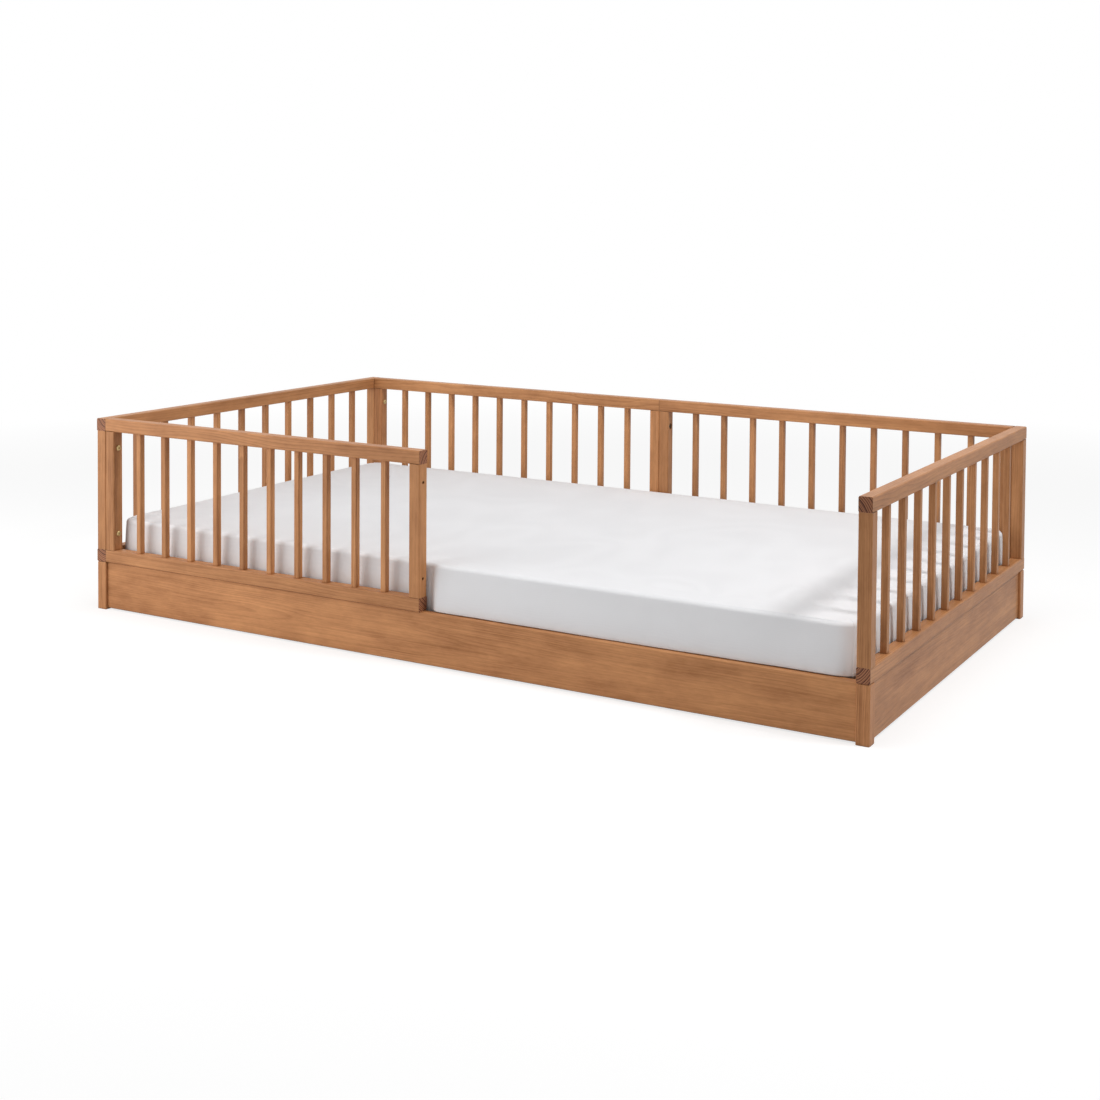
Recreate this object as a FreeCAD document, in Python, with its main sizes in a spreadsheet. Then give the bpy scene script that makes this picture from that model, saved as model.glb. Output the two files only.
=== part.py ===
import FreeCAD, Part
import Sketcher
import math
import os
import re

# A floor bed for a toddler, made of solid wood. A low base of four boards and four corner
# posts holds the slats, and five spindle guards stand on it: one across each end, two that
# meet at the middle of the back and one on the front's left half. The front's right half
# is the way in. All sizes are in millimetres. X runs along the bed, Y from the front to
# the back, Z up, and the origin is on the floor under the middle of the bed.

doc = FreeCAD.newDocument("floor_bed")
sheet = doc.addObject("Spreadsheet::Sheet", "Sizes")

SIZES = [
    # the bed as a whole
    ("bed_length", 1980, "outside, over both end guards"),
    ("bed_width", 1070, "outside, front to back"),
    ("base_height", 116, "floor to the top of the base"),
    ("guard_height", 348, "top of the base to the top of a guard"),
    ("front_guard_length", 932, "the front guard, from the left end guard to its free end"),
    # sections of the wood
    ("stock", 28, "thickness of rails, and both sides of a post"),
    ("rail_height", 30, "height of a guard's top and bottom rail"),
    ("eased_edge", 2, "flat on the long edges of rails, posts and boards"),
    # spindles and their joints
    ("spindle_count", 10, "spindles in each guard"),
    ("spindle_side", 14, "side of a spindle's square section"),
    ("spindle_ease", 1.2, "flat on a spindle's corners"),
    ("spindle_tenon", 10, "side of the stub tenon on a spindle's end"),
    ("spindle_tenon_length", 12, "how far it goes into the rail"),
    ("post_tenon", 14, "side of the tenon on a guard post's end"),
    ("post_tenon_length", 17, "how far it goes into the rail"),
    ("joint_clear", 0.1, "room on each side of a tenon, a key or a bolt's thread"),
    ("joint_spare", 1, "room past the end of a tenon, a key or a bolt"),
    # bolts that join the guards
    ("bolt_inset", 40, "from a post's end to the bolt's axis"),
    ("bolt_hole", 7, "hole through a post"),
    ("bolt_size", 6, "bolt's shank"),
    ("bolt_grip", 15, "length of the thread inside the next post"),
    ("bolt_head", 13, "round head"),
    ("bolt_head_height", 3.6, "thickness of the round head"),
    ("bolt_head_slope", 1.6, "bevel round the head"),
    ("bolt_socket", 4, "key socket across its flats"),
    ("bolt_socket_depth", 2, "depth of the key socket"),
    ("counterbore", 15.5, "sunk seat of a bolt's head at the back seam"),
    ("counterbore_depth", 6, "depth of that seat"),
    # loose keys between a guard and the base
    ("key_length", 30, "key along the guard"),
    ("key_thick", 8, "key across the guard"),
    ("key_height", 30, "half in the rail, half in the board"),
    ("key_inset", 150, "from a guard's end to the middle of its key"),
    # the base
    ("board_thick", 18, "base boards"),
    ("board_recess", 6, "boards stand back from the face of the posts"),
    ("board_lift", 3, "boards hang clear of the floor, the posts are the feet"),
    ("board_tenon", 8, "thickness of a board's stub tenon"),
    ("board_tenon_length", 7, "how far it goes into the post"),
    ("board_tenon_shoulder", 14, "shoulder above and below that tenon"),
    ("post_top_ease", 2.5, "bevel round the top of a corner post"),
    # blocks in the corners of the base
    ("block_side", 30, "corner block"),
    ("block_height", 44, "corner block"),
    ("block_lift", 8, "floor to the bottom of a corner block"),
    ("block_clear", 1, "room between the block and the post's corner"),
    ("block_bevel", 7, "bevel on the block's inner corner"),
    # cleats, beam and slats
    ("cleat_thick", 22, "front and back cleats"),
    ("cleat_height", 26, "front and back cleats"),
    ("cleat_gap", 2, "between a cleat's end and the corner block"),
    ("slat_seat", 56, "floor to the underside of the slats"),
    ("slat_count", 13, "slats"),
    ("slat_width", 70, "slat"),
    ("slat_thick", 12, "slat"),
    ("slat_play", 3, "room at each end of a slat"),
    ("slat_margin", 20, "from the end board to the first slat"),
    ("slat_ease", 1.5, "flat on a slat's long top edges"),
    ("strap_width", 30, "webbing under the slats"),
    ("strap_thick", 1.2, "webbing under the slats"),
    ("strap_reach", 250, "from the middle of the bed to each webbing strap"),
    ("beam_width", 40, "centre beam"),
    ("beam_height", 38, "centre beam"),
    ("beam_play", 2, "room at each end of the beam"),
    ("foot_length", 70, "foot under the centre beam"),
    # mattress and sheet
    ("end_room", 9.5, "between the mattress and the guard at each end"),
    ("side_room", 12, "between the mattress and the guards at front and back"),
    ("mattress_thick", 149, "mattress, at the middle of its crown"),
    ("mattress_rest", 0.3, "between the slats and the mattress"),
    ("mattress_corner", 40, "corner seen from above"),
    ("low_round", 22, "rounding of the bottom edge"),
    ("top_round", 24, "rounding of the top edge"),
    ("side_swell", 4, "how far the sides swell at mid height"),
    ("crown_rise", 2, "rise of the top in from its round edge"),
    ("crown_corner", 4, "corner of the top's highest part, seen from above"),
    ("sheet_gap", 0.8, "between the mattress and the sheet"),
    ("sheet_thick", 1.2, "sheet with its elastic edge"),
]
for line, (name, value, note) in enumerate(SIZES, start=1):
    sheet.set("A%d" % line, name)
    sheet.set("B%d" % line, str(value))
    sheet.set("C%d" % line, note)
    sheet.setAlias("B%d" % line, name)
doc.recompute()

X_AXIS = FreeCAD.Vector(1, 0, 0)
Z_AXIS = FreeCAD.Vector(0, 0, 1)
pieces = []


# Small helpers: a body in its place, a sketch on one of its planes, and the features.

NAMES = [name for name, value, note in SIZES]


def size(expression):
    """Write Sizes. before each named size in an expression."""
    return re.sub("[a-z_]+", lambda word: "Sizes." * (word.group() in NAMES) + word.group(),
                  expression)


def new_piece(name, x="0", y="0", z="0", turn=0):
    """A body of its own, turned about the vertical and set in its place."""
    body = doc.addObject("PartDesign::Body", name)
    body.Label = name
    body.Placement = FreeCAD.Placement(FreeCAD.Vector(), FreeCAD.Rotation(Z_AXIS, turn))
    body.setExpression("Placement.Base.x", size(x))
    body.setExpression("Placement.Base.y", size(y))
    body.setExpression("Placement.Base.z", size(z))
    pieces.append(body)
    return body


def new_sketch(body, role, x="0", y="0", z="0"):
    """A sketch on one of the body's own planes, moved by x, y and z of that plane."""
    sketch = body.newObject("Sketcher::SketchObject", body.Name + "_sketch")
    plane = [feature for feature in body.Origin.OriginFeatures if feature.Role == role][0]
    sketch.AttachmentSupport = [(plane, "")]
    sketch.MapMode = "FlatFace"
    sketch.setExpression("AttachmentOffset.Base.x", size(x))
    sketch.setExpression("AttachmentOffset.Base.y", size(y))
    sketch.setExpression("AttachmentOffset.Base.z", size(z))
    return sketch


def drive(sketch, kind, places, start, label, expression):
    """Add one dimension and tie it to the sizes."""
    index = sketch.addConstraint(Sketcher.Constraint(kind, *places, start))
    sketch.renameConstraint(index, label)
    sketch.setExpression("Constraints." + label, size(expression))


def outline(sketch, corners):
    """A closed outline through corners, each (x, y) as expressions."""
    count = len(corners)
    base = sketch.GeometryCount
    points = []
    for k in range(count):
        turn = 2 * math.pi * k / count
        points.append(FreeCAD.Vector(10 * math.cos(turn), 10 * math.sin(turn), 0))
    for k in range(count):
        sketch.addGeometry(Part.LineSegment(points[k], points[(k + 1) % count]))
    for k, (x, y) in enumerate(corners):
        line, after = base + k, base + (k + 1) % count
        sketch.addConstraint(Sketcher.Constraint("Coincident", line, 2, after, 1))
        drive(sketch, "DistanceX", (-1, 1, line, 1), points[k].x, "x%d" % line, x)
        drive(sketch, "DistanceY", (-1, 1, line, 1), points[k].y, "y%d" % line, y)


def rectangle(sketch, wide, high):
    """A rectangle with a corner at the sketch's origin."""
    points = [FreeCAD.Vector(x, y, 0) for x, y in ((0, 0), (10, 0), (10, 10), (0, 10))]
    for k in range(4):
        sketch.addGeometry(Part.LineSegment(points[k], points[(k + 1) % 4]))
    for k in range(4):
        sketch.addConstraint(Sketcher.Constraint("Coincident", k, 2, (k + 1) % 4, 1))
        sketch.addConstraint(Sketcher.Constraint("Vertical" if k % 2 else "Horizontal", k))
    sketch.addConstraint(Sketcher.Constraint("Coincident", 0, 1, -1, 1))
    drive(sketch, "DistanceX", (0, 1, 0, 2), 10, "wide", wide)
    drive(sketch, "DistanceY", (1, 1, 1, 2), 10, "high", high)


def circles(sketch, places, across, bore=None):
    """Equal circles, each at (x, y) as expressions, with a bore inside where one is given."""
    for k, (x, y) in enumerate(places):
        for ring, wide in enumerate([across] if bore is None else [across, bore]):
            start = 4 - 2 * ring
            spot = FreeCAD.Vector(20 * (k + 1), 5, 0)
            index = sketch.addGeometry(Part.Circle(spot, Z_AXIS, start))
            tag = "%d_%d" % (k, ring)
            drive(sketch, "Diameter", (index,), 2 * start, "across" + tag, wide)
            drive(sketch, "DistanceX", (-1, 1, index, 3), spot.x, "x" + tag, x)
            drive(sketch, "DistanceY", (-1, 1, index, 3), spot.y, "y" + tag, y)


def key_sockets(sketch, places, flats):
    """Six-sided key sockets, each at (x, y) as expressions."""
    for x, y in places:
        corners = []
        for k in range(6):
            turn = math.radians(60 * k)
            reach = 0.5 / math.cos(math.radians(30))
            corners.append(("%s + %s * %.4f" % (x, flats, reach * math.cos(turn)),
                            "%s + %s * %.4f" % (y, flats, reach * math.sin(turn))))
        outline(sketch, corners)


def feature(body, kind, sketch, length, back=False):
    """A pad or a pocket of a sketch. A pad goes along the sketch's normal, a pocket against
    it, and back turns either one round."""
    item = body.newObject("PartDesign::" + kind, body.Name + "_" + kind.lower())
    item.Profile = (sketch, [""])
    item.setExpression("Length", size(length))
    item.Reversed = back
    body.Tip = item
    return item


def pad(body, sketch, length, back=False):
    return feature(body, "Pad", sketch, length, back)


def pocket(body, sketch, depth, back=False):
    """Cut a pocket, and make sure that it took wood away."""
    doc.recompute()
    before = body.Shape.Volume
    item = feature(body, "Pocket", sketch, depth, back)
    doc.recompute()
    if body.Shape.Volume > before - 1:
        raise ValueError(body.Label + ": a pocket cuts nothing")
    return item


def row(body, items, sketch, axis, run, count):
    """Repeat features along an axis of their sketch."""
    item = body.newObject("PartDesign::LinearPattern", body.Name + "_row")
    item.Originals = items
    item.Direction = (sketch, [axis])
    item.setExpression("Length", size(run))
    item.setExpression("Occurrences", size(count))
    body.Tip = item
    return item


def straight_edges(shape, direction):
    """The names of a shape's straight edges that run in one direction."""
    names = []
    for number, edge in enumerate(shape.Edges, start=1):
        if isinstance(edge.Curve, Part.Line):
            if abs(edge.tangentAt(edge.FirstParameter).dot(direction)) > 0.999:
                names.append("Edge%d" % number)
    return names


def bevel_edges(body, item, names, across):
    bevel = body.newObject("PartDesign::Chamfer", body.Name + "_bevel")
    bevel.Base = (item, names)
    bevel.setExpression("Size", size(across))
    body.Tip = bevel
    return bevel


def ease_edges(body, item, direction):
    """Take the sharp edges off along a rail, a post or a board."""
    doc.recompute()
    return bevel_edges(body, item, straight_edges(item.Shape, direction), "eased_edge")


# A spindle guard. Seen from outside, X runs along it from its own left end, Y goes in from
# its outer face and Z up from the base. The top rail lies over two posts and the bottom rail
# under them. Ten spindles stand between the posts at equal gaps, each with a stub tenon in
# a mortise of either rail.

CLEAR_LENGTH = "(%s - 2 * stock)"
SPINDLE_PITCH = "((" + CLEAR_LENGTH + " - spindle_count * spindle_side) / (spindle_count + 1)" \
    " + spindle_side)"
UPPER_HOLE = "guard_height - rail_height - bolt_inset"
LOWER_HOLE = "rail_height + bolt_inset"
MORTISE = "(spindle_tenon + 2 * joint_clear)"
POST_MORTISE = "(post_tenon + 2 * joint_clear)"
KEY_LONG = "(key_length + 2 * joint_clear)"
KEY_ACROSS = "(key_thick + 2 * joint_clear)"
BOARD_MIDDLE = "(board_recess + board_thick / 2)"


def guard_rail(name, place, length, top):
    body = new_piece(name, **place)
    section = new_sketch(body, "YZ_Plane", y="guard_height - rail_height" if top else "0")
    rectangle(section, "stock", "rail_height")
    ease_edges(body, pad(body, section, length), X_AXIS)
    # mortises open downwards in a top rail and upwards in a bottom rail
    level = "guard_height - rail_height" if top else "rail_height"
    pitch = SPINDLE_PITCH % length
    first = new_sketch(body, "XY_Plane", x="stock + " + pitch + " - spindle_side / 2 - " + MORTISE
                       + " / 2", y="(stock - " + MORTISE + ") / 2", z=level)
    rectangle(first, MORTISE, MORTISE)
    cut = pocket(body, first, "spindle_tenon_length + joint_spare", back=top)
    row(body, [cut], first, "H_Axis", pitch + " * (spindle_count - 1)", "spindle_count")
    for start in ("0", length + " - stock"):
        end = new_sketch(body, "XY_Plane", x=start + " + (stock - " + POST_MORTISE + ") / 2",
                         y="(stock - " + POST_MORTISE + ") / 2", z=level)
        rectangle(end, POST_MORTISE, POST_MORTISE)
        pocket(body, end, "post_tenon_length + joint_spare", back=top)
    if not top:
        # two mortises underneath for the keys that stand in the base
        for spot in ("key_inset", length + " - key_inset"):
            under = new_sketch(body, "XY_Plane", x=spot + " - " + KEY_LONG + " / 2",
                               y=BOARD_MIDDLE + " - " + KEY_ACROSS + " / 2")
            rectangle(under, KEY_LONG, KEY_ACROSS)
            pocket(body, under, "key_height / 2 + joint_spare", back=True)
    return body


def guard_post(name, place, length, far, holes):
    """A post with a tenon at each end. Holes are through, sunk, blind_end or blind_side."""
    body = new_piece(name, **place)
    start = length + " - stock" if far else "0"
    section = new_sketch(body, "XY_Plane", x=start, z="rail_height")
    rectangle(section, "stock", "stock")
    ease_edges(body, pad(body, section, "guard_height - 2 * rail_height"), Z_AXIS)
    for level, down in (("rail_height", True), ("guard_height - rail_height", False)):
        tenon = new_sketch(body, "XY_Plane", x=start + " + (stock - post_tenon) / 2",
                           y="(stock - post_tenon) / 2", z=level)
        rectangle(tenon, "post_tenon", "post_tenon")
        pad(body, tenon, "post_tenon_length", back=down)
    pair = [("stock / 2", LOWER_HOLE), ("stock / 2", UPPER_HOLE)]
    thread = "bolt_size + 2 * joint_clear"
    if holes in ("through", "sunk"):
        drill = new_sketch(body, "YZ_Plane", z=start + " + stock")
        circles(drill, pair, "bolt_hole")
        pocket(body, drill, "stock")
    if holes == "sunk":
        seat = new_sketch(body, "YZ_Plane", z=start)
        circles(seat, pair, "counterbore")
        pocket(body, seat, "counterbore_depth", back=True)
    if holes == "blind_end":
        drill = new_sketch(body, "YZ_Plane", z=start)
        circles(drill, pair, thread)
        pocket(body, drill, "bolt_grip + joint_spare", back=True)
    if holes == "blind_side":
        drill = new_sketch(body, "XZ_Plane", x=start, z="-stock")
        circles(drill, pair, thread)
        pocket(body, drill, "bolt_grip + joint_spare", back=True)
    return body


def guard_spindles(name, place, length):
    body = new_piece(name, **place)
    pitch = SPINDLE_PITCH % length
    corner = "stock + " + pitch + " - spindle_side"
    section = new_sketch(body, "XY_Plane", x=corner, y="(stock - spindle_side) / 2",
                         z="rail_height")
    side, ease = "spindle_side", "spindle_ease"
    outline(section, [
        (ease, "0"), (side + " - " + ease, "0"),
        (side, ease), (side, side + " - " + ease),
        (side + " - " + ease, side), (ease, side),
        ("0", side + " - " + ease), ("0", ease),
    ])
    made = [pad(body, section, "guard_height - 2 * rail_height")]
    for level, down in (("rail_height", True), ("guard_height - rail_height", False)):
        tenon = new_sketch(body, "XY_Plane", x=corner + " + (spindle_side - spindle_tenon) / 2",
                           y="(stock - spindle_tenon) / 2", z=level)
        rectangle(tenon, "spindle_tenon", "spindle_tenon")
        made.append(pad(body, tenon, "spindle_tenon_length", back=down))
    row(body, made, section, "H_Axis", pitch + " * (spindle_count - 1)", "spindle_count")
    return body


def guard(name, place, length, posts):
    """posts: the near and the far post, each with its name and its holes."""
    guard_rail(name + "_top_rail", place, length, True)
    guard_rail(name + "_bottom_rail", place, length, False)
    for far, (side, holes) in enumerate(posts):
        guard_post(name + "_" + side + "_post", place, length, bool(far), holes)
    guard_spindles(name + "_spindles", place, length)


BACK_HALF = "(bed_length / 2 - stock)"

# left end guard: full depth, blind holes in its posts for the bolts of its two neighbours
guard("left_guard",
      dict(x="-bed_length / 2", y="bed_width / 2", z="base_height", turn=270),
      "bed_width", [("back", "blind_side"), ("front", "blind_side")])

# right end guard: the same. Its front holes wait for a second front guard.
guard("right_guard",
      dict(x="bed_length / 2", y="-bed_width / 2", z="base_height", turn=90),
      "bed_width", [("front", "blind_side"), ("back", "blind_side")])

# front guard: its free end has two open bolt holes, for a second front guard
guard("front_guard",
      dict(x="stock - bed_length / 2", y="-bed_width / 2", z="base_height", turn=0),
      "front_guard_length", [("left", "through"), ("right", "through")])

# the two back guards meet at the middle, where bolts with sunk heads pull them together
guard("back_left_guard",
      dict(x="0", y="bed_width / 2", z="base_height", turn=180),
      BACK_HALF, [("right", "blind_end"), ("left", "through")])
guard("back_right_guard",
      dict(x="bed_length / 2 - stock", y="bed_width / 2", z="base_height", turn=180),
      BACK_HALF, [("right", "through"), ("left", "sunk")])


# Base: corner posts that reach the floor, and boards tenoned between them.

TENON_HEIGHT = "(base_height - board_lift - 2 * board_tenon_shoulder)"


def corner_post(name, x, y, turn):
    """X and Y go in from the post's two outer faces."""
    body = new_piece(name, x=x, y=y, turn=turn)
    section = new_sketch(body, "XY_Plane")
    rectangle(section, "stock", "stock")
    eased = ease_edges(body, pad(body, section, "base_height"), Z_AXIS)
    doc.recompute()
    top = eased.Shape.BoundBox.ZMax
    names = ["Edge%d" % number for number, edge in enumerate(eased.Shape.Edges, start=1)
             if abs(edge.CenterOfMass.z - top) < 0.01]
    bevel_edges(body, eased, names, "post_top_ease")
    tenon_side = "board_tenon + 2 * joint_clear"
    low = "board_lift + board_tenon_shoulder - joint_clear"
    across = new_sketch(body, "YZ_Plane", x=BOARD_MIDDLE + " - (" + tenon_side + ") / 2", y=low,
                        z="stock")
    rectangle(across, tenon_side, TENON_HEIGHT + " + 2 * joint_clear")
    pocket(body, across, "board_tenon_length + joint_clear")
    along = new_sketch(body, "XZ_Plane", x=BOARD_MIDDLE + " - (" + tenon_side + ") / 2", y=low,
                       z="-stock")
    rectangle(along, tenon_side, TENON_HEIGHT + " + 2 * joint_clear")
    pocket(body, along, "board_tenon_length + joint_clear", back=True)


corner_post("base_post_front_left", "-bed_length / 2", "-bed_width / 2", 0)
corner_post("base_post_front_right", "bed_length / 2", "-bed_width / 2", 90)
corner_post("base_post_back_right", "bed_length / 2", "bed_width / 2", 180)
corner_post("base_post_back_left", "-bed_length / 2", "bed_width / 2", 270)


def base_board(name, place, length, keys):
    """X runs along the board, Y in from its outer face, Z up from the floor."""
    body = new_piece(name, **place)
    section = new_sketch(body, "YZ_Plane", y="board_lift")
    rectangle(section, "board_thick", "base_height - board_lift")
    ease_edges(body, pad(body, section, length), X_AXIS)
    for start, back in (("0", True), (length, False)):
        tenon = new_sketch(body, "YZ_Plane", x="(board_thick - board_tenon) / 2",
                           y="board_lift + board_tenon_shoulder", z=start)
        rectangle(tenon, "board_tenon", TENON_HEIGHT)
        pad(body, tenon, "board_tenon_length", back=back)
    for spot in keys:
        top = new_sketch(body, "XY_Plane", x=spot + " - " + KEY_LONG + " / 2",
                         y="(board_thick - " + KEY_ACROSS + ") / 2", z="base_height")
        rectangle(top, KEY_LONG, KEY_ACROSS)
        pocket(body, top, "key_height / 2 + joint_spare")
    return body


LONG_BOARD = "(bed_length - 2 * stock)"
SHORT_BOARD = "(bed_width - 2 * stock)"
base_board("base_front_board",
           dict(x="stock - bed_length / 2", y="board_recess - bed_width / 2"),
           LONG_BOARD, ["key_inset", "front_guard_length - key_inset"])
base_board("base_back_board",
           dict(x="bed_length / 2 - stock", y="bed_width / 2 - board_recess", turn=180),
           LONG_BOARD,
           ["key_inset", BACK_HALF + " - key_inset",
            BACK_HALF + " + key_inset", LONG_BOARD + " - key_inset"])
base_board("base_left_board",
           dict(x="board_recess - bed_length / 2", y="bed_width / 2 - stock", turn=270),
           SHORT_BOARD, ["key_inset - stock", SHORT_BOARD + " + stock - key_inset"])
base_board("base_right_board",
           dict(x="bed_length / 2 - board_recess", y="stock - bed_width / 2", turn=90),
           SHORT_BOARD, ["key_inset - stock", SHORT_BOARD + " + stock - key_inset"])


# Corner blocks: glued to both boards and notched round the post's inner corner.

INNER = "(board_recess + board_thick)"
CLEAT_START = "(board_recess + board_thick + block_side + cleat_gap)"
CLEAT_LENGTH = "(bed_length - 2 * " + CLEAT_START + ")"
BLOCK_NOTCH = "(stock - " + INNER + " + block_clear)"


def corner_block(name, x, y, turn):
    """X and Y go in from the faces of the two boards."""
    body = new_piece(name, x=x, y=y, z="block_lift", turn=turn)
    section = new_sketch(body, "XY_Plane")
    outline(section, [
        (BLOCK_NOTCH, "0"), ("block_side", "0"),
        ("block_side", "block_side - block_bevel"), ("block_side - block_bevel", "block_side"),
        ("0", "block_side"), ("0", BLOCK_NOTCH), (BLOCK_NOTCH, BLOCK_NOTCH),
    ])
    pad(body, section, "block_height")


corner_block("corner_block_front_left", INNER + " - bed_length / 2",
             INNER + " - bed_width / 2", 0)
corner_block("corner_block_front_right", "bed_length / 2 - " + INNER,
             INNER + " - bed_width / 2", 90)
corner_block("corner_block_back_right", "bed_length / 2 - " + INNER,
             "bed_width / 2 - " + INNER, 180)
corner_block("corner_block_back_left", INNER + " - bed_length / 2",
             "bed_width / 2 - " + INNER, 270)


# Cleats: strips on the long boards that carry the ends of the slats.

def cleat(name, x, y, turn):
    """X runs along the cleat, Y in from the board and Z up from its underside."""
    body = new_piece(name, x=x, y=y, z="slat_seat - cleat_height", turn=turn)
    section = new_sketch(body, "YZ_Plane")
    rectangle(section, "cleat_thick", "cleat_height")
    pad(body, section, CLEAT_LENGTH)


cleat("front_cleat", CLEAT_START + " - bed_length / 2", INNER + " - bed_width / 2", 0)
cleat("back_cleat", "bed_length / 2 - " + CLEAT_START, "bed_width / 2 - " + INNER, 180)


# Centre beam on three feet: it carries the middle of every slat.

BEAM_LENGTH = "(bed_length - 2 * " + INNER + " - 2 * beam_play)"
beam = new_piece("centre_beam", x="-" + BEAM_LENGTH + " / 2", y="-beam_width / 2",
                 z="slat_seat - beam_height")
beam_section = new_sketch(beam, "YZ_Plane")
rectangle(beam_section, "beam_width", "beam_height")
pad(beam, beam_section, BEAM_LENGTH)

for foot_name, foot_x in (("beam_foot_left", "-" + BEAM_LENGTH + " / 2"),
                          ("beam_foot_middle", "-foot_length / 2"),
                          ("beam_foot_right", BEAM_LENGTH + " / 2 - foot_length")):
    foot = new_piece(foot_name, x=foot_x, y="-beam_width / 2")
    foot_plan = new_sketch(foot, "XY_Plane")
    rectangle(foot_plan, "foot_length", "beam_width")
    pad(foot, foot_plan, "slat_seat - beam_height")


# Slats, on two straps of webbing that keep them apart.

SLAT_LENGTH = "(bed_width - 2 * " + INNER + " - 2 * slat_play)"
SLAT_RUN = "(bed_length - 2 * " + INNER + " - 2 * slat_margin - slat_width)"
slats = new_piece("slats", x="-" + SLAT_RUN + " / 2 - slat_width / 2",
                  y="-" + SLAT_LENGTH + " / 2", z="slat_seat")
slat_section = new_sketch(slats, "XZ_Plane", z="-" + SLAT_LENGTH)
outline(slat_section, [
    ("0", "0"), ("slat_width", "0"), ("slat_width", "slat_thick - slat_ease"),
    ("slat_width - slat_ease", "slat_thick"), ("slat_ease", "slat_thick"),
    ("0", "slat_thick - slat_ease"),
])
row(slats, [pad(slats, slat_section, SLAT_LENGTH)], slat_section, "H_Axis", SLAT_RUN,
    "slat_count")

for strap_name, strap_y in (("slat_strap_front", "-strap_reach - strap_width / 2"),
                            ("slat_strap_back", "strap_reach - strap_width / 2")):
    strap = new_piece(strap_name, x="-" + SLAT_RUN + " / 2 - slat_width / 2", y=strap_y,
                      z="slat_seat - strap_thick")
    strap_plan = new_sketch(strap, "XY_Plane")
    rectangle(strap_plan, SLAT_RUN + " + slat_width", "strap_width")
    pad(strap, strap_plan, "strap_thick")


# Keys that locate the guards on the base: each stands half in a board, half in a rail.

FRONT_START = "stock - bed_length / 2"
OUT_X = "(bed_length / 2 - " + BOARD_MIDDLE + ")"
OUT_Y = "(bed_width / 2 - " + BOARD_MIDDLE + ")"
keys = new_piece("locating_keys", z="base_height - key_height / 2")
long_keys = [(FRONT_START + " + key_inset", "-1 * " + OUT_Y),
             (FRONT_START + " + front_guard_length - key_inset", "-1 * " + OUT_Y)]
end_keys = []
for side in ("-1 * ", ""):
    for spot in ("key_inset", "(" + BACK_HALF + " - key_inset)"):
        long_keys.append((side + spot, OUT_Y))
    for other in ("-1 * ", ""):
        end_keys.append((side + OUT_X, other + "(bed_width / 2 - key_inset)"))
for places, wide, deep in ((long_keys, "key_length", "key_thick"),
                           (end_keys, "key_thick", "key_length")):
    for x, y in places:
        plan = new_sketch(keys, "XY_Plane", x=x + " - " + wide + " / 2",
                          y=y + " - " + deep + " / 2")
        rectangle(plan, wide, deep)
        pad(keys, plan, "key_height")


# Bolts that join the guards, each pair one above the other. Their threads turn into the
# next post.

POST_MIDDLE = "(bed_width / 2 - stock / 2)"
LEVELS = (LOWER_HOLE, UPPER_HOLE)
FRONT_PAIR = [("-" + POST_MIDDLE, level) for level in LEVELS]
BACK_PAIR = [(POST_MIDDLE, level) for level in LEVELS]


def add_bolts(body, seat, places, towards_left):
    """Bolts whose heads sit at x = seat and whose shanks run to the left or to the right."""
    grip = "stock + bolt_grip"
    if seat == SEAM_SEAT:
        grip = "stock - counterbore_depth + bolt_grip"
    shank = new_sketch(body, "YZ_Plane", z=seat)
    circles(shank, places, "bolt_size")
    pad(body, shank, grip, back=towards_left)
    head = new_sketch(body, "YZ_Plane", z=seat)
    circles(head, places, "bolt_head")
    cap = pad(body, head, "bolt_head_height", back=not towards_left)
    doc.recompute()
    sign = 1 if towards_left else -1
    face = head.Placement.Base.x + sign * sheet.bolt_head_height
    rims = []
    for number, edge in enumerate(cap.Shape.Edges, start=1):
        if isinstance(edge.Curve, Part.Circle) and abs(edge.Curve.Center.x - face) < 0.01:
            rims.append("Edge%d" % number)
    bevel_edges(body, cap, rims, "bolt_head_slope")
    offset = " + bolt_head_height" if towards_left else " - bolt_head_height"
    key = new_sketch(body, "YZ_Plane", z=seat + offset)
    key_sockets(key, places, "bolt_socket")
    pocket(body, key, "bolt_socket_depth", back=not towards_left)


LEFT_SEAT = "2 * stock - bed_length / 2"
RIGHT_SEAT = "bed_length / 2 - 2 * stock"
SEAM_SEAT = "stock - counterbore_depth"
corner_bolts = new_piece("corner_bolts", z="base_height")
add_bolts(corner_bolts, LEFT_SEAT, FRONT_PAIR + BACK_PAIR, True)
add_bolts(corner_bolts, RIGHT_SEAT, BACK_PAIR, False)
seam_bolts = new_piece("seam_bolts", z="base_height")
add_bolts(seam_bolts, SEAM_SEAT, BACK_PAIR, True)


# Mattress and fitted sheet. Level sections from the bottom edge to the crown: the sides
# swell a little, the edges are round and the top rises towards the middle. Each section is
# how far it stands in from the full size, how high it lies, and which way its surface faces.

MATTRESS_LENGTH = "(bed_length - 2 * stock - 2 * end_room)"
MATTRESS_WIDTH = "(bed_width - 2 * stock - 2 * side_room)"
MATTRESS_BOTTOM = "slat_seat + slat_thick + mattress_rest"


def soft_sections(low_angles, top_angles):
    sections = []
    for angle in low_angles:
        out, up = math.sin(math.radians(angle)), math.cos(math.radians(angle))
        inset = "low_round * %.4f" % (1 - out)
        sections.append((inset, "low_round * %.4f" % (1 - up), "mattress_corner - " + inset,
                         out, -up if angle > low_angles[0] else 0))
    sections.append(("-side_swell", "(mattress_thick - crown_rise) / 2",
                     "mattress_corner + side_swell", 1, 0))
    for angle in top_angles:
        out, up = math.sin(math.radians(angle)), math.cos(math.radians(angle))
        inset = "top_round * %.4f" % (1 - out)
        sections.append((inset, "mattress_thick - crown_rise - top_round * %.4f" % (1 - up),
                         "mattress_corner - " + inset, out, up))
    sections.append(("mattress_corner - crown_corner", "mattress_thick", "crown_corner", 0, 1))
    return sections


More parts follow.
